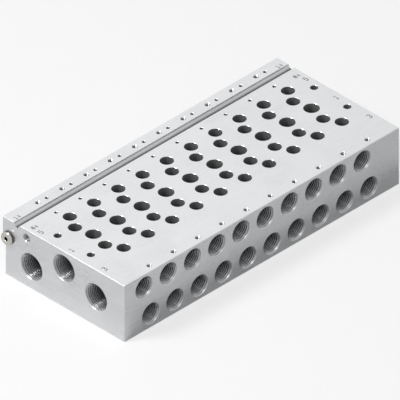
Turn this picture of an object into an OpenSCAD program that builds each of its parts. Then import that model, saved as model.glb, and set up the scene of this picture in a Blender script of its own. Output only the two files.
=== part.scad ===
// Ten-station manifold rail for pneumatic valves.
// The valves are screwed side by side on the top deck. Air comes in and goes out through galleries
// that run the whole length of the block, and reaches the outlets on the front face.
// X runs along the rail, Y from the front face to the back, and the base lies on z = 0.
// The origin is the middle of the four mounting holes, under the centre line of supply gallery 1.

/* [Valve stations] */
// Number of valve stations in the row
stations = 10; // [2:1:14]
// Centre line of one station to the centre line of the next
pitch = 19; // [18.8:0.1:26]

/* [Heights in the block] */
// Base to the centre line of the lower outlets, number 4
base_to_outlet_4 = 9.4; // [7.2:0.1:16]
// Lower outlets to the upper outlets, number 2
outlet_rows = 20.3; // [19.6:0.1:26]
// Centre line of the upper outlets to the deck
outlet_2_to_deck = 8.5; // [7.2:0.1:10]
// Centre line of gallery 1 to the deck
gallery_1_to_deck = 11.7; // [9:0.1:14]
// Base to the centre line of gallery 5
base_to_gallery_5 = 14.7; // [9:0.1:24]
// Centre line of pilot gallery 84 to the deck
gallery_84_to_deck = 5.85; // [3:0.05:12]
// Centre line of pilot gallery 14 to the deck
gallery_14_to_deck = 12; // [10.8:0.1:20]

/* [Rows on the deck] */
// Centre line of gallery 1 to ports 4 and 2
inner_port_y = 11.8; // [10.2:0.1:16]
// Ports 4 and 2 to ports 5 and 3 beyond them
inner_to_outer = 9.3; // [8:0.1:14]
// Port 5 to pilot hole 84
outer_to_pilot_84 = 8.25; // [6:0.05:14]
// Pilot hole 84 to the front edge of the groove
pilot_84_to_groove = 4.75; // [2.8:0.05:10]
// Depth of the groove, which is also the radius of its round rear side
groove_depth = 2.45; // [0.8:0.05:3.4]
// Rear edge of the groove to the rear row of screw holes
groove_to_screws = 4.2; // [2:0.1:8]
// Rear row of screw holes to the back of the rear strip
screws_to_back = 4.75; // [3.2:0.05:10]
// Front row of screw holes to the front face
screws_to_front = 4.5; // [2.4:0.1:10]
// Rear row of screw holes to pilot gallery 14, which lies in front of it
screws_to_pilot_14 = 0.3; // [0:0.1:1.5]

/* [Outer shape] */
// How far the rear strip stands out over the lower back face
overhang = 2.6; // [0.5:0.1:2.9]
// Height of the strip, from the underside of that overhang to the deck
strip_h = 17; // [14.8:0.1:28]
// Chamfer along the outer edges
edge_chamfer = 0.3; // [0.1:0.05:0.8]

/* [Mounting holes] */
// Bore of the four mounting holes, which pass an M4 screw
mount_hole_d = 4.5; // [3:0.1:5]
// Centre line of an end station to the mounting holes beyond it
station_to_mount = 15; // [14:0.1:18]
// Centre line of gallery 1 to the mounting holes on either side
mount_y = 13; // [11.8:0.1:14.2]
// Mounting holes to the left end face
mount_to_left = 8.3; // [3:0.1:20]
// Mounting holes to the right end face
mount_to_right = 6.05; // [3:0.05:20]

/* [Galleries 5, 1 and 3] */
// Bore of the three large galleries
gallery_d = 11; // [6:0.1:12]
// Centre line of gallery 1 to those of galleries 5 and 3
exhaust_y = 25.3; // [20:0.1:28]
// Thread of the gallery mouths, G3/8, at its major diameter
main_thread_d = 16.66; // [12.2:0.01:18]
// Depth of that thread
main_thread_depth = 11; // [5:0.1:12]

/* [Pilot galleries 14 and 84] */
// Bore of the two pilot galleries
pilot_gallery_d = 4.2; // [2:0.1:4.6]
// Thread of the pilot mouths, M5, at its major diameter
pilot_thread_d = 5; // [4.7:0.1:5.5]
// Depth of that thread
pilot_thread_depth = 8; // [6:0.1:12]

/* [Valve ports on the deck] */
// Bore of port 1
port_1_d = 9.2; // [4:0.1:10.6]
// Bore of ports 2, 3, 4 and 5
port_d = 7.9; // [3:0.1:8.6]
// How far ports 5 and 3 lie to the right of the station, and ports 4 and 2 to the left
port_shift = 2.65; // [0:0.05:3.6]
// Bore of the pilot holes 84 and 14
pilot_hole_d = 2; // [0.8:0.1:2.8]
// How far pilot hole 14 lies to the right of the station
pilot_14_shift = 6.3; // [3.4:0.1:9]

/* [Valve screws] */
// Thread of the valve screws, M3, at its major diameter
screw_thread_d = 3; // [2:0.1:3.3]
// Depth of that thread
screw_thread_depth = 6; // [4:0.1:8.8]
// How far the front row lies to the right of the stations, and the rear row to the left
screw_shift = 0.45; // [0.3:0.05:2]

/* [Outlets on the front face] */
// Thread of the outlets, G1/4, at its major diameter
outlet_thread_d = 13.16; // [8.5:0.01:13.5]
// Depth of that thread
outlet_thread_depth = 12; // [6:0.1:13]
// How far the upper outlets lie to the left of their stations; the lower ones lie under port 4
outlet_2_shift = 7.86; // [7.6:0.02:8.2]
// Bore behind the upper outlets
outlet_2_d = 7; // [3:0.1:8.2]
// Bore behind the lower outlets
outlet_4_d = 7; // [3:0.1:8.4]
// Depth of the countersink at the threaded mouths
countersink = 0.32; // [0.1:0.02:0.6]

/* [Blanking plug] */
// Diameter of the plug's head
plug_head_d = 8; // [6.8:0.1:9]
// Thickness of the head
plug_head_h = 1.4; // [1:0.1:3]
// Chamfer round the head
plug_chamfer = 0.3; // [0.1:0.05:0.5]
// Length of the threaded shank, from under the head
plug_shank = 5; // [3.8:0.1:8]
// Gap all round between the shank and the thread that it is screwed into
plug_gap = 0.05; // [0.02:0.01:0.2]
// Hexagon socket, across flats
socket_af = 2.5; // [1:0.1:3]
// Depth of the hexagon socket
socket_depth = 2.2; // [0.8:0.1:3]
// Outside diameter of the sealing ring under the head, where it bulges
seal_d = 8.2; // [7.6:0.1:9]
// Thickness of the sealing ring
seal_h = 1.1; // [0.5:0.1:1.6]

/* [Hidden] */
$fn = 64;

// How far a cut runs past the face that it starts from
over = 1;
// How far ports 2 and the outlets' bores run past the centre line of the bore that they open into
meet = 1.9;
// Half the angle of a drill's tip
drill_half_angle = 59;

// Along the rail
half_span = (stations - 1) * pitch / 2;
station_x = [for (i = [0 : stations - 1]) i * pitch - half_span];
mount_x = half_span + station_to_mount;
left_x = -mount_x - mount_to_left;
right_x = mount_x + mount_to_right;
block_l = right_x - left_x;

// Up the block; gallery 3 passes half-way between the two rows of outlets
outlet_4_z = base_to_outlet_4;
outlet_2_z = outlet_4_z + outlet_rows;
block_h = outlet_2_z + outlet_2_to_deck;
gallery_1_z = block_h - gallery_1_to_deck;
gallery_3_z = (outlet_4_z + outlet_2_z) / 2;
gallery_5_z = base_to_gallery_5;
pilot_84_z = block_h - gallery_84_to_deck;
pilot_14_z = block_h - gallery_14_to_deck;

// Across the block, from the centre line of gallery 1
outer_port_y = inner_port_y + inner_to_outer;
pilot_84_y = outer_port_y + outer_to_pilot_84;
groove_front_y = pilot_84_y + pilot_84_to_groove;
groove_rear_y = groove_front_y + 2 * groove_depth;
screw_y = groove_rear_y + groove_to_screws;
pilot_14_y = screw_y - screws_to_pilot_14;
front_y = -screw_y - screws_to_front;
strip_back_y = screw_y + screws_to_back;
back_y = strip_back_y - overhang;

// Outline of the block seen from its left end, with every outer edge chamfered
module end_outline() {
    c = edge_chamfer;
    under = block_h - strip_h;
    polygon([
        [front_y + c, 0], [back_y - c, 0], [back_y, c],
        [back_y, under], [strip_back_y - c, under], [strip_back_y, under + c],
        [strip_back_y, block_h - c], [strip_back_y - c, block_h],
        [front_y + c, block_h], [front_y, block_h - c], [front_y, c]
    ]);
}

// A rectangle from corner a to corner b with its corners cut off
module chamfered_rectangle(a, b) {
    c = edge_chamfer;
    polygon([
        [a.x + c, a.y], [b.x - c, a.y], [b.x, a.y + c], [b.x, b.y - c],
        [b.x - c, b.y], [a.x + c, b.y], [a.x, b.y - c], [a.x, a.y + c]
    ]);
}

// Cross-section of the groove: a 45 degree front side and a quarter-round rear side
module groove_outline() {
    d = groove_depth;
    floor_y = groove_front_y + d;
    polygon([
        [groove_front_y - over, block_h + over], [floor_y, block_h - d],
        [floor_y, block_h + over]
    ]);
    intersection() {
        translate([floor_y, block_h]) circle(r = d);
        translate([floor_y - over, block_h - d]) square([d + over, d]);
    }
    translate([floor_y - over, block_h]) square([d + over, over]);
}

// Turns a drawing in the YZ plane into a bar along X
module along_x(from_x, length) {
    translate([from_x, 0, 0]) rotate([90, 0, 90]) linear_extrude(height = length) children();
}

// The block before it is drilled: the bar's outline, chamfered at both ends as well
module blank_block() {
    intersection() {
        along_x(left_x, block_l) end_outline();
        translate([0, strip_back_y, 0]) rotate([90, 0, 0]) linear_extrude(height = strip_back_y - front_y)
            chamfered_rectangle([left_x, 0], [right_x, block_h]);
        linear_extrude(height = block_h)
            chamfered_rectangle([left_x, front_y], [right_x, strip_back_y]);
    }
}

// A hole of diameter d drilled down from z = 0
module drilled(d, depth) {
    translate([0, 0, -depth]) cylinder(h = depth + over, d = d);
}

// A blind hole that ends in the cone of the drill's tip
module blind(d, depth) {
    tip = d / 2 / tan(drill_half_angle);
    rotate_extrude() polygon([[0, over], [d / 2, over], [d / 2, -depth], [0, -depth - tip]]);
}

// A threaded mouth with its countersink, cut down from z = 0
module mouth(thread_d, depth) {
    drilled(thread_d, depth);
    translate([0, 0, -countersink])
        cylinder(h = countersink + over, d1 = thread_d, d2 = thread_d + 2 * (countersink + over));
}

// A gallery through the whole block, with a threaded mouth at each end
module gallery(y, z, d, thread_d, thread_depth) {
    translate([left_x - over, y, z]) rotate([0, 90, 0]) cylinder(h = block_l + 2 * over, d = d);
    translate([left_x, y, z]) rotate([0, -90, 0]) mouth(thread_d, thread_depth);
    translate([right_x, y, z]) rotate([0, 90, 0]) mouth(thread_d, thread_depth);
}

// A port drilled from the deck down to the height z
module deck_port(x, y, d, z) {
    translate([x, y, block_h]) drilled(d, block_h - z);
}

// An outlet: its threaded mouth on the front face, and the bore that runs back into its deck port
module outlet(x, z, d, port_y) {
    translate([x, front_y, z]) rotate([90, 0, 0]) {
        mouth(outlet_thread_d, outlet_thread_depth);
        drilled(d, port_y + meet - front_y);
    }
}

// Everything that is drilled for one valve
module station_cuts() {
    deck_port(0, 0, port_1_d, gallery_1_z);
    deck_port(port_shift, outer_port_y, port_d, gallery_5_z);
    deck_port(port_shift, -outer_port_y, port_d, gallery_3_z);
    deck_port(-port_shift, inner_port_y, port_d, outlet_4_z);
    deck_port(-port_shift, -inner_port_y, port_d, outlet_2_z - meet);
    deck_port(0, pilot_84_y, pilot_hole_d, pilot_84_z);
    deck_port(pilot_14_shift, pilot_14_y, pilot_hole_d, pilot_14_z);
    outlet(-outlet_2_shift, outlet_2_z, outlet_2_d, -inner_port_y);
    outlet(-port_shift, outlet_4_z, outlet_4_d, inner_port_y);
    for (side = [-1, 1]) translate([-side * screw_shift, side * screw_y, block_h])
        blind(screw_thread_d, screw_thread_depth);
}

module manifold_block() {
    color("silver") difference() {
        blank_block();
        along_x(left_x - over, block_l + 2 * over) groove_outline();
        gallery(exhaust_y, gallery_5_z, gallery_d, main_thread_d, main_thread_depth);
        gallery(0, gallery_1_z, gallery_d, main_thread_d, main_thread_depth);
        gallery(-exhaust_y, gallery_3_z, gallery_d, main_thread_d, main_thread_depth);
        gallery(pilot_84_y, pilot_84_z, pilot_gallery_d, pilot_thread_d, pilot_thread_depth);
        gallery(pilot_14_y, pilot_14_z, pilot_gallery_d, pilot_thread_d, pilot_thread_depth);
        for (x = station_x) translate([x, 0, 0]) station_cuts();
        for (x = [-mount_x, mount_x], y = [-mount_y, mount_y])
            translate([x, y, block_h]) drilled(mount_hole_d, block_h + over);
    }
}

// Puts a piece on the left mouth of gallery 14, with its own z = 0 on the end face
module on_port_14() {
    translate([left_x, pilot_14_y, pilot_14_z]) rotate([0, -90, 0]) children();
}

// The plug, turned from one bar: shank in the thread, head on the sealing ring, hexagon socket in the head
module blanking_plug() {
    shank_r = pilot_thread_d / 2 - plug_gap;
    head_r = plug_head_d / 2;
    tip_z = seal_h - plug_shank;
    top_z = seal_h + plug_head_h;
    c = plug_chamfer;
    color("gainsboro") on_port_14() difference() {
        rotate_extrude() polygon([
            [0, tip_z], [shank_r - c, tip_z], [shank_r, tip_z + c],
            [shank_r, seal_h], [head_r - c, seal_h], [head_r, seal_h + c],
            [head_r, top_z - c], [head_r - c, top_z], [0, top_z]
        ]);
        translate([0, 0, top_z - socket_depth])
            cylinder(h = socket_depth + over, d = socket_af / cos(30), $fn = 6);
    }
}

// The sealing ring, squeezed so that its outer side bulges
module plug_seal() {
    bulge = seal_h / 2;
    color("dimgray") on_port_14() rotate_extrude() {
        translate([pilot_thread_d / 2, 0]) square([(seal_d - pilot_thread_d) / 2 - bulge, seal_h]);
        translate([seal_d / 2 - bulge, bulge]) circle(r = bulge, $fn = 32);
    }
}

manifold_block();
blanking_plug();
plug_seal();
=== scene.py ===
import bpy
import bmesh
from math import cos, pi, radians, sin
from mathutils import Matrix, Vector


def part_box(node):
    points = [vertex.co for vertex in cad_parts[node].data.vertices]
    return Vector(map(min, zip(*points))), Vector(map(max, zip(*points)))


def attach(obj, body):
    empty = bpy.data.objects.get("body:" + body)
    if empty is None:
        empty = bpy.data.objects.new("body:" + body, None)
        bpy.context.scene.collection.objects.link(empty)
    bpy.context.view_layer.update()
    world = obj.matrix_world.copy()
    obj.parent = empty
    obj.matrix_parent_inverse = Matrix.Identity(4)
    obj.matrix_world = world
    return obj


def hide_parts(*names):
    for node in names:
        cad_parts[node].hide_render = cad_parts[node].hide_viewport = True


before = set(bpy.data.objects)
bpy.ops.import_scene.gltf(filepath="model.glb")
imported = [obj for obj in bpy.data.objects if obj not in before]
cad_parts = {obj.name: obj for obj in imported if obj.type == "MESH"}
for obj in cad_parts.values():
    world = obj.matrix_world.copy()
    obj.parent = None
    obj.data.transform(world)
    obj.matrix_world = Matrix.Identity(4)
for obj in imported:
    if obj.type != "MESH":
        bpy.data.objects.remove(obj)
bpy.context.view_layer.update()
mm = 0.001
weld = 1e-6     # vertices closer than this, in metres, are merged
blockLow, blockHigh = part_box("manifold_block")
print("frame loaded:", ", ".join(sorted(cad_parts)))

# the line drawing is isometric: one scale along all three edges of the block
photo = {
    "size": 400,                    # pixels a side
    "pixelsPerMetre": 1804.15,      # across the picture plane
    "cornerPixel": (124.5, 286.3),  # where the nearest top corner of the block lies
    "distance": 1.2,                # from the camera to the point it aims at, in metres
}


def placeCamera():
    look = Vector((1, 1, -1)).normalized()
    right = Vector((1, -1, 0)).normalized()
    up = right.cross(look)
    corner = Vector((blockLow.x, blockLow.y, blockHigh.z))
    half = photo["size"] / 2
    across = (photo["cornerPixel"][0] - half) / photo["pixelsPerMetre"]
    upward = (half - photo["cornerPixel"][1]) / photo["pixelsPerMetre"]
    aim = corner - right * across - up * upward
    cameraData = bpy.data.cameras.new("drawingCamera")
    cameraData.type = "ORTHO"
    cameraData.ortho_scale = photo["size"] / photo["pixelsPerMetre"]
    camera = bpy.data.objects.new("drawingCamera", cameraData)
    turn = look.to_track_quat("-Z", "Y").to_matrix().to_4x4()
    camera.matrix_world = Matrix.Translation(aim - look * photo["distance"]) @ turn
    bpy.context.scene.collection.objects.link(camera)
    bpy.context.scene.camera = camera


placeCamera()
print("camera placed")


# a node socket that takes part in sums as a number does
class Wire:
    def __init__(self, tree, socket=None):
        self.tree = tree
        self.socket = socket

    # any node: its type, its settings, its inputs by name or number, and the output that is wanted
    def node(self, kind, settings=None, inputs=None, out=0):
        made = self.tree.nodes.new(kind)
        for name, value in (settings or {}).items():
            if name == "stops":
                ramp = made.color_ramp
                ramp.elements[0].position, ramp.elements[0].color = value[0]
                ramp.elements[1].position, ramp.elements[1].color = value[-1]
                for place, colour in value[1:-1]:
                    ramp.elements.new(place).color = colour
            else:
                setattr(made, name, value)
        for name, value in (inputs or {}).items():
            if isinstance(value, Wire):
                self.tree.links.new(value.socket, made.inputs[name])
            else:
                made.inputs[name].default_value = value
        return Wire(self.tree, made.outputs[out])

    def sum(self, operation, first, second=0.0):
        return self.node("ShaderNodeMath", {"operation": operation}, {0: first, 1: second})

    def __add__(self, other):
        return self.sum("ADD", self, other)

    def __radd__(self, other):
        return self.sum("ADD", other, self)

    def __sub__(self, other):
        return self.sum("SUBTRACT", self, other)

    def __rsub__(self, other):
        return self.sum("SUBTRACT", other, self)

    def __mul__(self, other):
        return self.sum("MULTIPLY", self, other)

    def __rmul__(self, other):
        return self.sum("MULTIPLY", other, self)

    def __gt__(self, other):
        return self.sum("GREATER_THAN", self, other)

    def __lt__(self, other):
        return self.sum("LESS_THAN", self, other)

    def __abs__(self):
        return self.sum("ABSOLUTE", self)


# a new material, a wire to build its nodes on, and its shader
def newFinish(name, base, roughness, metallic):
    material = bpy.data.materials.new(name)
    material.use_nodes = True
    shader = material.node_tree.nodes["Principled BSDF"]
    shader.inputs["Base Color"].default_value = (*base, 1)
    shader.inputs["Roughness"].default_value = roughness
    shader.inputs["Metallic"].default_value = metallic
    material.diffuse_color = (*base, 1)
    return material, Wire(material.node_tree), shader


def feed(wire, node, name, value):
    wire.tree.links.new(value.socket, node.inputs[name])


# relief in the shader's normal: its strength and its depth in metres
def feedBump(wire, shader, bump, height):
    strength, distance = bump
    feed(wire, shader, "Normal", wire.node("ShaderNodeBump", None, {
        "Strength": strength, "Distance": distance, "Height": height}))


def objectPlace(wire):
    return wire.node("ShaderNodeTexCoord", None, None, "Object")


# x, y or z of a vector, by number
def axisOf(wire, vector, number):
    return wire.node("ShaderNodeSeparateXYZ", None, {0: vector}, number)


# goes from 0 to 1 while the value goes from start to end
def fade(wire, value, start, end):
    return wire.node("ShaderNodeMapRange", None, {0: value, 1: start, 2: end})


# noise on Object coordinates: waves a metre along each axis, detail, and how rough the detail is
def noise(wire, place, grain):
    scale, detail, roughness = grain
    spread = wire.node("ShaderNodeMapping", None, {"Vector": place, "Scale": scale})
    return wire.node("ShaderNodeTexNoise", None, {
        "Vector": spread, "Scale": 1.0, "Detail": detail, "Roughness": roughness})


def mixColour(wire, mask, first, second):
    return wire.node("ShaderNodeMix", {"data_type": "RGBA"}, {0: mask, 6: (*first, 1), 7: (*second, 1)}, 2)


# takes a colour down to a share of itself where the mask is 1
def darken(wire, mask, colour, share):
    return wire.node("ShaderNodeMix", {"data_type": "RGBA", "blend_type": "MULTIPLY"}, {
        0: mask, 6: colour, 7: (share, share, share, 1)}, 2)


# the groove along the deck, for the finish and for the edges that stay sharp
groove = {
    "middle": 36.55 * mm,
    "half": 2.7 * mm,                   # half its width
    "reach": 3.0 * mm,                  # its walls are looked for down to this depth
    "endInset": 0.02 * mm,              # and from this far inside the end faces
    "shadeDepth": (1.75 * mm, 2.45 * mm),    # between these depths it takes painted shade, darkest at its bottom
    # share of the colour left under that painted shade
    "shadeShare": 0.1,
    "metalLoss": 0.4,
}

aluminium = {
    "shade": (0.70, 0.71, 0.73),
    "base": (0.80, 0.81, 0.825),
    "light": (0.86, 0.87, 0.88),
    "tones": (0.30, 0.50, 0.70),    # where those three colours stand
    "roughness": 0.3,
    "metallic": 0.78,               # the rest is the oxide layer, which scatters light as paint does
    "alongX": ((26, 1300, 1300), 3.0, 0.6),     # milling lines that run along the rail
    "alongY": ((1300, 26, 1300), 3.0, 0.6),     # and across the sawn and faced ends
    "endFacing": 0.8,               # a normal that points along the rail by more than this is an end's
    "clouds": ((38, 46, 46), 4.0, 0.55),        # slow changes of tone from the anodising bath
    "grain": ((5200, 5200, 5200), 1.0, 0.5),
    "toneShares": (0.5, 0.35, 0.15),    # of the clouds, the lines and the grain
    "reliefShares": (0.7, 0.3),         # of the lines and the grain
    "lineRoughness": 0.16,          # how far the lines change the roughness
    "cloudRoughness": 0.10,
    "bump": (0.22, 0.00004),
    "rimDepth": (0.16 * mm, 0.36 * mm),     # between these depths a drilled wall turns less metallic and takes painted shade
    # share of the colour left under that painted shade on the drilled walls
    "rimShadeShare": 0.36,
    "rimMetalLoss": 0.45,
    "boreDepth": (1.0 * mm, 11.0 * mm),     # and between these it takes more painted shade, darker towards the bottom, and turns rougher
    # share of the colour left under the painted shade deepest in the holes
    "boreShadeShare": 0.35,
    "boreRoughness": 0.12,
    "lowerBack": 45.35 * mm,        # the back face below the strip
}


# three masks that are 0 on the outer faces: for the walls of the holes, for their deep parts, for the groove
def cutMasks(wire, place, a):
    def smaller(first, second):
        return wire.sum("MINIMUM", first, second)

    x, y, z = (axisOf(wire, place, number) for number in range(3))
    fromEnds = smaller(x - blockLow.x, blockHigh.x - x)
    depth = smaller(smaller(fromEnds, z - blockLow.z), blockHigh.z - z)
    depth = smaller(depth, smaller(y - blockLow.y, a["lowerBack"] - y))
    inGroove = (groove["half"] > abs(y - groove["middle"])) * (z > blockHigh.z - groove["reach"])
    inGroove = inGroove * (fromEnds > groove["endInset"])
    drilled = 1 - inGroove
    return (fade(wire, depth, *a["rimDepth"]) * drilled, fade(wire, depth, *a["boreDepth"]) * drilled,
            fade(wire, blockHigh.z - z, *groove["shadeDepth"]) * inGroove)


def makeAluminium():
    a = aluminium
    material, wire, shader = newFinish("satinAluminium", a["base"], a["roughness"], a["metallic"])
    place = objectPlace(wire)
    normal = wire.node("ShaderNodeNewGeometry", None, None, "Normal")
    endFace = abs(axisOf(wire, normal, 0)) > a["endFacing"]
    lines = noise(wire, place, a["alongX"]) * (1 - endFace) + noise(wire, place, a["alongY"]) * endFace
    clouds = noise(wire, place, a["clouds"])
    grain = noise(wire, place, a["grain"])
    cloudTone, lineTone, grainTone = a["toneShares"]
    tone = clouds * cloudTone + lines * lineTone + grain * grainTone
    colours = ((*a[name], 1) for name in ("shade", "base", "light"))
    colour = wire.node("ShaderNodeValToRGB", {"stops": list(zip(a["tones"], colours))}, {0: tone})
    walls, deep, trench = cutMasks(wire, place, a)
    # painted shade: the colour darkens down the walls of the holes and further towards their bottoms
    shadedInHoles = darken(wire, deep, darken(wire, walls, colour, a["rimShadeShare"]), a["boreShadeShare"])
    # painted shade at the bottom of the groove
    feed(wire, shader, "Base Color", darken(wire, trench, shadedInHoles, groove["shadeShare"]))
    feed(wire, shader, "Metallic", a["metallic"] - walls * a["rimMetalLoss"] - trench * groove["metalLoss"])
    feed(wire, shader, "Roughness", a["roughness"] + (lines - 0.5) * a["lineRoughness"]
         + (clouds - 0.5) * a["cloudRoughness"] + deep * a["boreRoughness"])
    lineRelief, grainRelief = a["reliefShares"]
    feedBump(wire, shader, a["bump"], lines * lineRelief + grain * grainRelief)
    return material


cutMetal = {
    "base": (0.62, 0.63, 0.64),
    "shade": (0.42, 0.43, 0.45),
    "roughness": 0.27,
    "chatter": ((900, 900, 900), 3.0, 0.6),     # marks of the tap
    "chatterRoughness": 0.2,
    "bump": (0.2, 0.00003),
    "deepShadeShare": 0.18,      # share of the colour that is left under the painted shade at the depth where it ends
}


# the cut metal of the threads whose bores run along one axis, with painted shade that darkens with the depth
# below the nearest mouth
def makeCutMetal(name, axis, mouths, deep):
    c = cutMetal
    material, wire, shader = newFinish(name, c["base"], c["roughness"], 1.0)
    place = objectPlace(wire)
    along = axisOf(wire, place, axis)
    depth = abs(along - mouths[0])
    for mouth in mouths[1:]:
        depth = wire.sum("MINIMUM", depth, abs(along - mouth))
    chatter = noise(wire, place, c["chatter"])
    metal = mixColour(wire, chatter, c["shade"], c["base"])
    # painted shade: the colour darkens with the depth below the mouth
    feed(wire, shader, "Base Color", darken(wire, fade(wire, depth, 0.0, deep), metal, c["deepShadeShare"]))
    feed(wire, shader, "Roughness", c["roughness"] + (chatter - 0.5) * c["chatterRoughness"])
    feedBump(wire, shader, c["bump"], chatter)
    return material


nickel = {
    "base": (0.74, 0.72, 0.67),
    "dark": (0.62, 0.60, 0.55),
    "light": (0.82, 0.80, 0.75),
    "spots": ((700, 700, 700), 4.0, 0.6),
    "roughness": 0.2,
    "spotRoughness": 0.12,
    "ringPitch": 0.00022,       # of the turning marks, in metres
    "ringRoughness": 0.06,
    "bump": (0.25, 0.00002),
    "socketRadius": 1.6 * mm,
    "socketFrom": 2.4 * mm,     # how far its mouth stands out from the end face
    "socketFade": 0.9 * mm,     # the depth over which its painted shade deepens
    "socketShadeShare": 0.15,
}


# the plating of the plug, whose axis runs along x at this y and z, with painted shade down its hex socket
def makeNickel(axisY, axisZ):
    n = nickel
    material, wire, shader = newFinish("nickelPlate", n["base"], n["roughness"], 1.0)
    place = objectPlace(wire)
    away = wire.node("ShaderNodeMapping", None, {"Vector": place, "Location": (0, -axisY, -axisZ)})
    flat = wire.node("ShaderNodeVectorMath", {"operation": "MULTIPLY"}, {0: away, 1: (0, 1, 1)})
    radius = wire.node("ShaderNodeVectorMath", {"operation": "LENGTH"}, {0: flat}, "Value")
    rings = wire.sum("SINE", radius * (2 * pi / n["ringPitch"])) * 0.5 + 0.5
    spots = noise(wire, place, n["spots"])
    plated = mixColour(wire, spots, n["dark"], n["light"])
    socketMouth = blockLow.x - n["socketFrom"]
    sunk = fade(wire, axisOf(wire, place, 0), socketMouth, socketMouth + n["socketFade"])
    # painted shade inside the hex socket, darker with the depth
    inSocket = (radius < n["socketRadius"]) * sunk
    feed(wire, shader, "Base Color", darken(wire, inSocket, plated, n["socketShadeShare"]))
    feed(wire, shader, "Roughness", n["roughness"] + rings * n["ringRoughness"]
         + (spots - 0.5) * n["spotRoughness"])
    feedBump(wire, shader, n["bump"], rings)
    return material


# two plain finishes, each a mix of two colours by one fine noise
rubber = {
    "base": (0.035, 0.036, 0.04), "light": (0.09, 0.09, 0.095), "roughness": 0.55,
    "speckle": ((1500, 1500, 1500), 4.0, 0.65), "bump": (0.3, 0.00003),
}
markInk = {
    "base": (0.02, 0.02, 0.022), "light": (0.07, 0.07, 0.075), "roughness": 0.6,
    "speckle": ((4000, 4000, 4000), 3.0, 0.6), "bump": None,
}
speckleRoughness = 0.3


def makeSpeckled(name, look):
    material, wire, shader = newFinish(name, look["base"], look["roughness"], 0.0)
    speckle = noise(wire, objectPlace(wire), look["speckle"])
    feed(wire, shader, "Base Color", mixColour(wire, speckle, look["base"], look["light"]))
    feed(wire, shader, "Roughness", look["roughness"] + (speckle - 0.5) * speckleRoughness)
    if look["bump"]:
        feedBump(wire, shader, look["bump"], speckle)
    return material


def pick(*things):
    if bpy.context.object and bpy.context.object.mode != "OBJECT":
        bpy.ops.object.mode_set(mode="OBJECT")
    bpy.ops.object.select_all(action="DESELECT")
    for thing in things:
        thing.select_set(True)
    bpy.context.view_layer.objects.active = things[0]


# picks a piece, opens it in edit mode and selects all of it
def editAll(piece):
    pick(piece)
    bpy.ops.object.mode_set(mode="EDIT")
    bpy.ops.mesh.select_all(action="SELECT")


# in edit mode, turns all the faces outwards and leaves the mode
def faceOutwards():
    bpy.ops.mesh.select_all(action="SELECT")
    bpy.ops.mesh.normals_make_consistent(inside=False)
    bpy.ops.object.mode_set(mode="OBJECT")


def smoothBelow(piece, angle):
    pick(piece)
    bpy.ops.object.shade_smooth_by_angle(angle=angle)


def applyModifiers(piece):
    pick(piece)
    for modifier in list(piece.modifiers):
        bpy.ops.object.modifier_apply(modifier=modifier.name)


def applyPlace(piece, matrix):
    piece.data.transform(matrix)
    piece.data.update()
    piece.matrix_world = Matrix.Identity(4)


def cutWith(piece, cutter):
    cut = piece.modifiers.new("cut", "BOOLEAN")
    cut.operation = "DIFFERENCE"
    cut.solver = "EXACT"
    cut.object = cutter
    applyModifiers(piece)
    bpy.data.objects.remove(cutter)


def addCylinder(sides, radius, low, high):
    bpy.ops.mesh.primitive_cylinder_add(vertices=sides, radius=radius, depth=high - low,
                                        location=(0, 0, (low + high) / 2))
    return bpy.context.object


# a cone that stands on its point
def addFunnel(sides, radius, low, high):
    bpy.ops.mesh.primitive_cone_add(vertices=sides, radius1=0, radius2=radius, depth=high - low,
                                    location=(0, 0, (low + high) / 2))
    return bpy.context.object


def finishPiece(piece, name, material, slotName, *nodes):
    piece.name = name
    piece.data.name = name
    piece.data.materials.clear()
    piece.data.materials.append(material)
    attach(piece, "root")
    if nodes:
        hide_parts(*nodes)
    print("made", name, len(piece.data.polygons), "faces")


block = {
    "rimBreak": 0.15 * mm,      # the deburred edge round each hole in the deck and base
    "rimAngle": radians(40),    # an edge that turns less than this is no rim
    "wallTilt": 0.3,            # an upright wall's normal rises or falls by less than this
    "smoothAngle": radians(32),
    "near": 0.01 * mm,          # what counts as lying in the deck or base
}


# an edge in the deck or base with one upright wall below it, other than the groove's
def isRim(edge):
    if len(edge.link_faces) != 2 or edge.calc_face_angle(0) < block["rimAngle"]:
        return False
    ends = [vertex.co for vertex in edge.verts]
    for height in (blockLow.z, blockHigh.z):
        if all(abs(end.z - height) < block["near"] for end in ends):
            walls = [face for face in edge.link_faces if abs(face.normal.z) < block["wallTilt"]]
            inGroove = all(abs(end.y - groove["middle"]) < groove["half"] for end in ends)
            return len(walls) == 1 and not (inGroove and height == blockHigh.z)
    return False


def makeBlock(material):
    mesh = bpy.data.meshes.new("drilledBlock")
    body = bmesh.new()
    body.from_mesh(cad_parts["manifold_block"].data)
    bmesh.ops.remove_doubles(body, verts=body.verts, dist=weld)
    body.to_mesh(mesh)
    body.free()
    piece = bpy.data.objects.new("drilledBlock", mesh)
    bpy.context.scene.collection.objects.link(piece)
    pick(piece)
    if mesh.has_custom_normals:
        bpy.ops.mesh.customdata_custom_splitnormals_clear()
    bpy.ops.object.mode_set(mode="EDIT")
    bpy.ops.mesh.select_mode(type="EDGE")
    opened = bmesh.from_edit_mesh(mesh)
    for part in (*opened.verts, *opened.edges, *opened.faces):
        part.select = False
    for edge in opened.edges:
        if isRim(edge):
            edge.select_set(True)
    opened.select_flush_mode()
    bmesh.update_edit_mesh(mesh)
    bpy.ops.mesh.bevel(offset=block["rimBreak"], segments=1, affect="EDGES",
                       clamp_overlap=False, loop_slide=False)
    bpy.ops.object.mode_set(mode="OBJECT")
    smoothBelow(piece, block["smoothAngle"])
    finishPiece(piece, "drilled_block", material, "block", "manifold_block")


# outline of a thread's ridge: share of the pitch along the bore, share of the way from the wall to the crest
ridgeOutline = [(-0.47, -0.04), (-0.14, 0.88), (-0.05, 1.0), (0.05, 1.0), (0.14, 0.88), (0.47, -0.04)]
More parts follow.
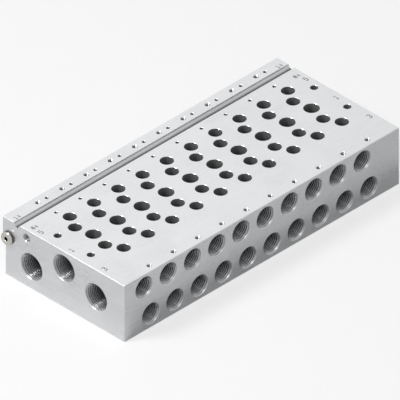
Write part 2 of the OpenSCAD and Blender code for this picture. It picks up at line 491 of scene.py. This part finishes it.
# threads in mm: pitch, radius of the wall and of the crest, start and end below the mouth, steps in a turn,
# sides of the bodies that trim the ridge's ends, depth where the painted shade is darkest
outletThread = {"pitch": 1.337, "wall": 6.58, "crest": 5.72, "start": 0.32, "end": 12.016,
                "steps": 40, "trim": 94, "dark": 9}
galleryThread = {"pitch": 1.337, "wall": 8.33, "crest": 7.475, "start": 0.32, "end": 11.02,
                 "steps": 48, "trim": 106, "dark": 10}
pilotThread = {"pitch": 0.8, "wall": 2.5, "crest": 2.07, "start": 0.32, "end": 8.02, "steps": 24, "trim": 58}
screwThread = {"pitch": 0.5, "wall": 1.5, "crest": 1.23, "start": 0.15, "end": 6.02,
               "steps": 18, "trim": 50, "dark": 2.5}
plugThread = {"pitch": 0.8, "wall": 2.05, "crest": 2.44, "start": 0.5, "end": 3.49, "steps": 32, "trim": 70}
ridgeTrim = {
    "spare": 2.5,           # pitches that the trimming bodies reach past the ridge's ends
    "clear": 0.01 * mm,     # how far into the wall the countersink's cone starts
    "smoothAngle": radians(43),
}


# the ridge of a thread, with the mouth at z = 0 and the screw or bore going down
def makeRidge(thread):
    pitch, wall = thread["pitch"] * mm, thread["wall"] * mm
    reach = thread["crest"] * mm - wall
    mouth, bottom = -thread["start"] * mm, -thread["end"] * mm
    bpy.ops.mesh.primitive_circle_add(vertices=len(ridgeOutline), radius=pitch, location=(0, 0, 0))
    piece = bpy.context.object
    for vertex, (along, inward) in zip(piece.data.vertices, ridgeOutline):
        vertex.co = (wall + inward * reach, 0, bottom + (along - 0.5) * pitch)
    screw = piece.modifiers.new("turns", "SCREW")
    screw.axis = "Z"
    screw.angle = 2 * pi
    screw.screw_offset = pitch
    screw.iterations = round((mouth - bottom) / pitch + 1)
    screw.steps = screw.render_steps = thread["steps"]
    screw.use_smooth_shade = True
    applyModifiers(piece)
    editAll(piece)
    bpy.ops.mesh.fill_holes(sides=0)
    faceOutwards()
    wide, spare, sides = wall + pitch, ridgeTrim["spare"] * pitch, thread["trim"]
    cutWith(piece, addCylinder(sides, wide, bottom - spare, bottom))
    if reach < 0:    # in a bore, the countersink's 45 degree cone cuts the first turns down
        top = wall + ridgeTrim["clear"] + spare
        cutWith(piece, addFunnel(sides, top, mouth + spare - top, mouth + spare))
    else:
        cutWith(piece, addCylinder(sides, wide, mouth, mouth + spare))
    editAll(piece)
    bpy.ops.mesh.remove_doubles(threshold=weld)
    bpy.ops.object.mode_set(mode="OBJECT")
    return piece


# copies a finished shape to several places, each with its own mesh, and joins them into one piece
def repeatAt(piece, places):
    copies = []
    for matrix in places:
        copy = piece.copy()
        copy.data = piece.data.copy()
        copy.data.transform(matrix)
        bpy.context.scene.collection.objects.link(copy)
        copies.append(copy)
    bpy.data.objects.remove(piece)
    pick(*copies)
    bpy.ops.object.join()
    return bpy.context.object


# turns a shape whose mouth faces +Z towards a face of the block; spin sets where its thread starts
def facing(direction, x, y, z, spin=0.0):
    turn = Vector(direction).to_track_quat("Z", "Y").to_matrix().to_4x4()
    return Matrix.Translation((x * mm, y * mm, z * mm)) @ turn @ Matrix.Rotation(spin, 4, "Z")


# places of the holes, in mm, in the frame's own axes
holes = {
    "stations": 10,
    "pitch": 19,
    "outlets": ((-7.86, 29.7), (-2.65, 9.4)),   # from the station: x, z
    "galleries": ((-25.3, 19.55), (0, 26.5), (25.3, 14.7)),     # y, z
    "pilots": ((29.35, 32.35), (42.9, 26.2)),   # y, z; the second is plugged at the left end
    "screws": ((0.45, -43.2), (-0.45, 43.2)),   # from the station: x, y
}
# how far each thread's start is turned from the one before it, in radians
spins = {"outlet": 0.7, "outletRow": 1.9, "gallery": 1.3, "screw": 0.9}
left, front, deck = blockLow.x / mm, blockLow.y / mm, blockHigh.z / mm
right = blockHigh.x / mm
stationX = [(i - (holes["stations"] - 1) / 2) * holes["pitch"] for i in range(holes["stations"])]
plugY, plugZ = holes["pilots"][1]


def makeThreads():
    frontMetal = makeCutMetal("outletThreads", 1, (blockLow.y,), outletThread["dark"] * mm)
    endMetal = makeCutMetal("galleryThreads", 0, (blockLow.x, blockHigh.x), galleryThread["dark"] * mm)
    deckMetal = makeCutMetal("screwThreads", 2, (blockHigh.z,), screwThread["dark"] * mm)
    outletPlaces = [facing((0, -1, 0), x + dx, front, z, spins["outlet"] * i + spins["outletRow"] * j)
                    for i, x in enumerate(stationX) for j, (dx, z) in enumerate(holes["outlets"])]
    galleryPlaces = [facing((side, 0, 0), left if side < 0 else right, y, z, spins["gallery"] * i + side)
                     for side in (-1, 1) for i, (y, z) in enumerate(holes["galleries"])]
    pilotPlaces = [facing((-1, 0, 0), left, *holes["pilots"][0])]
    pilotPlaces += [facing((1, 0, 0), right, *place) for place in holes["pilots"]]
    screwPlaces = [facing((0, 0, 1), x + dx, y, deck, spins["screw"] * i)
                   for i, x in enumerate(stationX) for dx, y in holes["screws"]]
    for name, thread, places, material in (
            ("outlet_threads", outletThread, outletPlaces, frontMetal),
            ("gallery_threads", galleryThread, galleryPlaces, endMetal),
            ("pilot_threads", pilotThread, pilotPlaces, endMetal),
            ("screw_threads", screwThread, screwPlaces, deckMetal)):
        piece = repeatAt(makeRidge(thread), places)
        smoothBelow(piece, ridgeTrim["smoothAngle"])
        finishPiece(piece, name, material, "block")


# the blanking plug, in mm, with z = 0 on the end face of the block and +z outwards
plug = {
    "turned": ((1.6, -3.9), (2.05, -3.45), (2.05, -0.35), (2.42, 0.0), (2.42, 1.1), (3.72, 1.1), (3.9, 1.18),
               (3.98, 1.36), (4.0, 1.5), (4.0, 2.2), (3.96, 2.34), (3.86, 2.44), (3.72, 2.5), (2.0, 2.5),
               (1.9, 2.46)),    # radius and z, from the tip round to the face
    "around": 72,
    "headTop": 2.5,
    "socketAcross": 2.5,
    "socketDepth": 2.2,
    "socketSpare": 1,       # how far the cutter for the socket stands out of the head
    "drillShare": 0.86,     # radius of the drilled hole, as a share of the hexagon's
    "drillTip": 0.55,
    "drillOverlap": 0.01,   # how far the drill's cone reaches up into the socket
    "socketMouth": 1.52,    # radius of the small cone at the mouth of the socket
    "mouthLift": 0.04,      # how far that cone's base stands above the face
    "coneSides": 48,
    "smoothAngle": radians(25),
}


# a body turned round the z axis: a disc that is extruded and scaled along the outline
def turnBody(outline, around):
    (radius, height), rest = outline[0], outline[1:]
    bpy.ops.mesh.primitive_circle_add(vertices=around, radius=radius * mm, fill_type="NGON",
                                      location=(0, 0, height * mm))
    piece = bpy.context.object
    bpy.ops.object.transform_apply(location=True, rotation=False, scale=False)
    editAll(piece)
    for newRadius, newHeight in rest:
        rise = (newHeight - height) * mm
        grow = newRadius / radius
        bpy.ops.mesh.extrude_region_move(TRANSFORM_OT_translate={"value": (0, 0, rise)})
        bpy.ops.transform.resize(value=(grow, grow, 1), center_override=(0, 0, newHeight * mm))
        radius, height = newRadius, newHeight
    faceOutwards()
    return piece


def makePlug(material):
    body = turnBody(plug["turned"], plug["around"])
    top = plug["headTop"]
    floor = top - plug["socketDepth"]
    corner = plug["socketAcross"] / 2 / cos(pi / 6)
    cutWith(body, addCylinder(6, corner * mm, floor * mm, (top + plug["socketSpare"]) * mm))
    tipTop = floor + plug["drillOverlap"]
    cutWith(body, addFunnel(plug["coneSides"], corner * plug["drillShare"] * mm,
                            (tipTop - plug["drillTip"]) * mm, tipTop * mm))
    mouth, mouthTop = plug["socketMouth"], top + plug["mouthLift"]
    cutWith(body, addFunnel(plug["coneSides"], mouth * mm, (mouthTop - mouth) * mm, mouthTop * mm))
    pick(body, makeRidge(plugThread))
    bpy.ops.object.join()
    applyPlace(body, facing((-1, 0, 0), left, plugY, plugZ))
    smoothBelow(body, plug["smoothAngle"])
    finishPiece(body, "turned_plug", material, "plug", "blanking_plug")


# the sealing ring, in mm
seal = {
    "inside": 2.5,
    "outside": 4.1,
    "thickness": 1.1,
    "bulge": 0.62,      # half the height of its section, before its flats are pressed
    "around": 72,
    "section": 24,
    "smoothAngle": radians(35),
}


def makeSeal(material):
    half = (seal["outside"] - seal["inside"]) / 2
    bpy.ops.mesh.primitive_torus_add(major_segments=seal["around"], minor_segments=seal["section"],
                                     major_radius=(seal["inside"] + half) * mm, minor_radius=half * mm)
    piece = bpy.context.object
    flat = seal["thickness"] / 2 * mm
    for vertex in piece.data.vertices:    # squeezed flat between the head and the end face
        height = vertex.co.z * seal["bulge"] / half
        vertex.co.z = min(max(height, -flat), flat) + flat
    applyPlace(piece, facing((-1, 0, 0), left, plugY, plugZ))
    smoothBelow(piece, seal["smoothAngle"])
    finishPiece(piece, "rubber_seal", material, "seal", "plug_seal")


# port numbers on the deck: text, height, and place from the left end and the front, in mm
marks = {
    "numbers": (
        ("14", 2.6, 4.9, 89.1), ("84", 2.5, 4.9, 75.4), ("5", 3.4, 3.9, 69.6), ("1", 3.4, 3.7, 45.4),
        ("3", 3.4, 3.9, 19.6), ("14", 2.6, 210.2, 89.0), ("84", 2.5, 210.2, 75.3), ("5", 3.4, 211.6, 69.7),
        ("1", 3.4, 211.1, 45.4), ("3", 3.4, 211.4, 19.5)),
    "stroke": 0.34,     # half the width of a stroke
    "flatten": 0.3,     # the strokes' height, as a share of their width
    "proud": 0.03,
    "advance": 0.9,     # from one digit to the next, in heights
    "smoothAngle": radians(40),
}


def arc(x, y, wide, high, start, end, steps=14):
    turns = [radians(start + (end - start) * i / steps) for i in range(steps + 1)]
    return [(x + wide * cos(turn), y + high * sin(turn)) for turn in turns]


# strokes of each digit in a box one unit high, with x from its middle
digits = {
    "1": [[(-0.17, 0.78), (0.03, 1.0), (0.03, 0.0)], [(-0.2, 0.0), (0.26, 0.0)]],
    "3": [arc(-0.03, 0.76, 0.25, 0.24, 150, -90) + arc(-0.03, 0.26, 0.3, 0.26, 90, -150)],
    "4": [[(0.15, 0.0), (0.15, 1.0), (-0.28, 0.3), (0.3, 0.3)]],
    "5": [[(0.24, 1.0), (-0.2, 1.0), (-0.24, 0.54)] + arc(-0.02, 0.31, 0.3, 0.31, 130, -145)],
    "8": [arc(0, 0.76, 0.22, 0.24, -90, 270, 20), arc(0, 0.26, 0.28, 0.26, -90, 270, 20)],
}


def makeNumbers(material):
    curve = bpy.data.curves.new("portNumbers", "CURVE")
    curve.dimensions = "3D"
    curve.bevel_depth = marks["stroke"] * mm
    curve.bevel_resolution = 2
    curve.use_fill_caps = True
    for words, height, x, y in marks["numbers"]:
        for i, digit in enumerate(words):
            middle = x + left + (i - (len(words) - 1) / 2) * marks["advance"] * height
            for stroke in digits[digit]:
                spline = curve.splines.new("POLY")
                spline.points.add(len(stroke) - 1)
                for point, (across, up) in zip(spline.points, stroke):
                    point.co = ((middle + across * height) * mm, (y + front + (up - 0.5) * height) * mm, 0, 1)
    piece = bpy.data.objects.new("portNumbers", curve)
    bpy.context.scene.collection.objects.link(piece)
    pick(piece)
    bpy.ops.object.convert(target="MESH")
    piece = bpy.context.object
    flatten = marks["flatten"]
    height = (deck - marks["stroke"] * flatten + marks["proud"]) * mm
    applyPlace(piece, Matrix.Translation((0, 0, height)) @ Matrix.Diagonal((1, 1, flatten, 1)))
    editAll(piece)
    bpy.ops.mesh.remove_doubles(threshold=weld)
    faceOutwards()
    smoothBelow(piece, marks["smoothAngle"])
    finishPiece(piece, "port_numbers", material, "block")


# the studio: pale floor, soft lamps and a pale surround
studio = {
    "floorSize": 3.0,
    "floorColour": (0.72, 0.72, 0.72),
    "fibreColours": ((0.70, 0.70, 0.70), (0.74, 0.74, 0.74)),
    "fibre": ((60, 60, 60), 3.0, 0.5),
    "floorRoughness": 0.9,
    "glowShare": 0.58,          # share of plain white that the camera sees in the floor
    "glowStrength": 1.2,
    "worldColour": (1.0, 1.0, 1.0),
    "worldStrength": 0.25,
    "worldGloss": 0.67,         # the strength that metal reflects
    "lampAim": (0, 0, 0.02),
}


def makeFloor():
    bpy.ops.mesh.primitive_plane_add(size=studio["floorSize"], location=(0, 0, 0))
    floor = bpy.context.object
    floor.name = "studioFloor"
    material, wire, shader = newFinish("studioPaper", studio["floorColour"], studio["floorRoughness"], 0.0)
    fibre = noise(wire, objectPlace(wire), studio["fibre"])
    feed(wire, shader, "Base Color", mixColour(wire, fibre, *studio["fibreColours"]))
    camera = wire.node("ShaderNodeLightPath", None, None, "Is Camera Ray")
    glow = wire.node("ShaderNodeEmission", None, {"Color": (1, 1, 1, 1), "Strength": studio["glowStrength"]})
    paper = Wire(material.node_tree, shader.outputs[0])
    mixed = wire.node("ShaderNodeMixShader", None, {0: camera * studio["glowShare"], 1: paper, 2: glow})
    wire.tree.links.new(mixed.socket, material.node_tree.nodes["Material Output"].inputs["Surface"])
    floor.data.materials.append(material)


def makeWorld():
    world = bpy.data.worlds.new("studioWorld")
    bpy.context.scene.world = world
    world.use_nodes = True
    wire = Wire(world.node_tree)
    background = world.node_tree.nodes["Background"]
    camera = wire.node("ShaderNodeLightPath", None, None, "Is Camera Ray")
    glossy = wire.node("ShaderNodeLightPath", None, None, "Is Glossy Ray")
    background.inputs["Color"].default_value = (*studio["worldColour"], 1)
    plain = studio["worldStrength"]
    strength = plain + glossy * (studio["worldGloss"] - plain) + camera * (1 - plain)
    feed(wire, background, "Strength", strength)


# lamps: place in metres, size in metres, power in watts
lamps = {
    "keySoftbox": ((-0.76, 0.34, 1.0), 0.34, 10.0),
    "frontSoftbox": ((-0.4, -1.0, 0.92), 0.6, 1.8),
    "backSoftbox": ((0.5, 0.75, 0.75), 0.7, 0.6),
}


def makeLamps():
    for name, (place, size, power) in lamps.items():
        data = bpy.data.lights.new(name, "AREA")
        data.shape = "SQUARE"
        data.size = size
        data.energy = power
        lamp = bpy.data.objects.new(name, data)
        lamp.location = place
        beam = Vector(studio["lampAim"]) - Vector(place)
        lamp.rotation_euler = beam.to_track_quat("-Z", "Y").to_euler()
        bpy.context.scene.collection.objects.link(lamp)


makeBlock(makeAluminium())
makeThreads()
makeNumbers(makeSpeckled("laserMark", markInk))
makePlug(makeNickel(plugY * mm, plugZ * mm))
makeSeal(makeSpeckled("blackRubber", rubber))
print("object finished")

makeFloor()
makeWorld()
makeLamps()
bpy.context.scene.view_settings.view_transform = "Standard"
print("studio set")
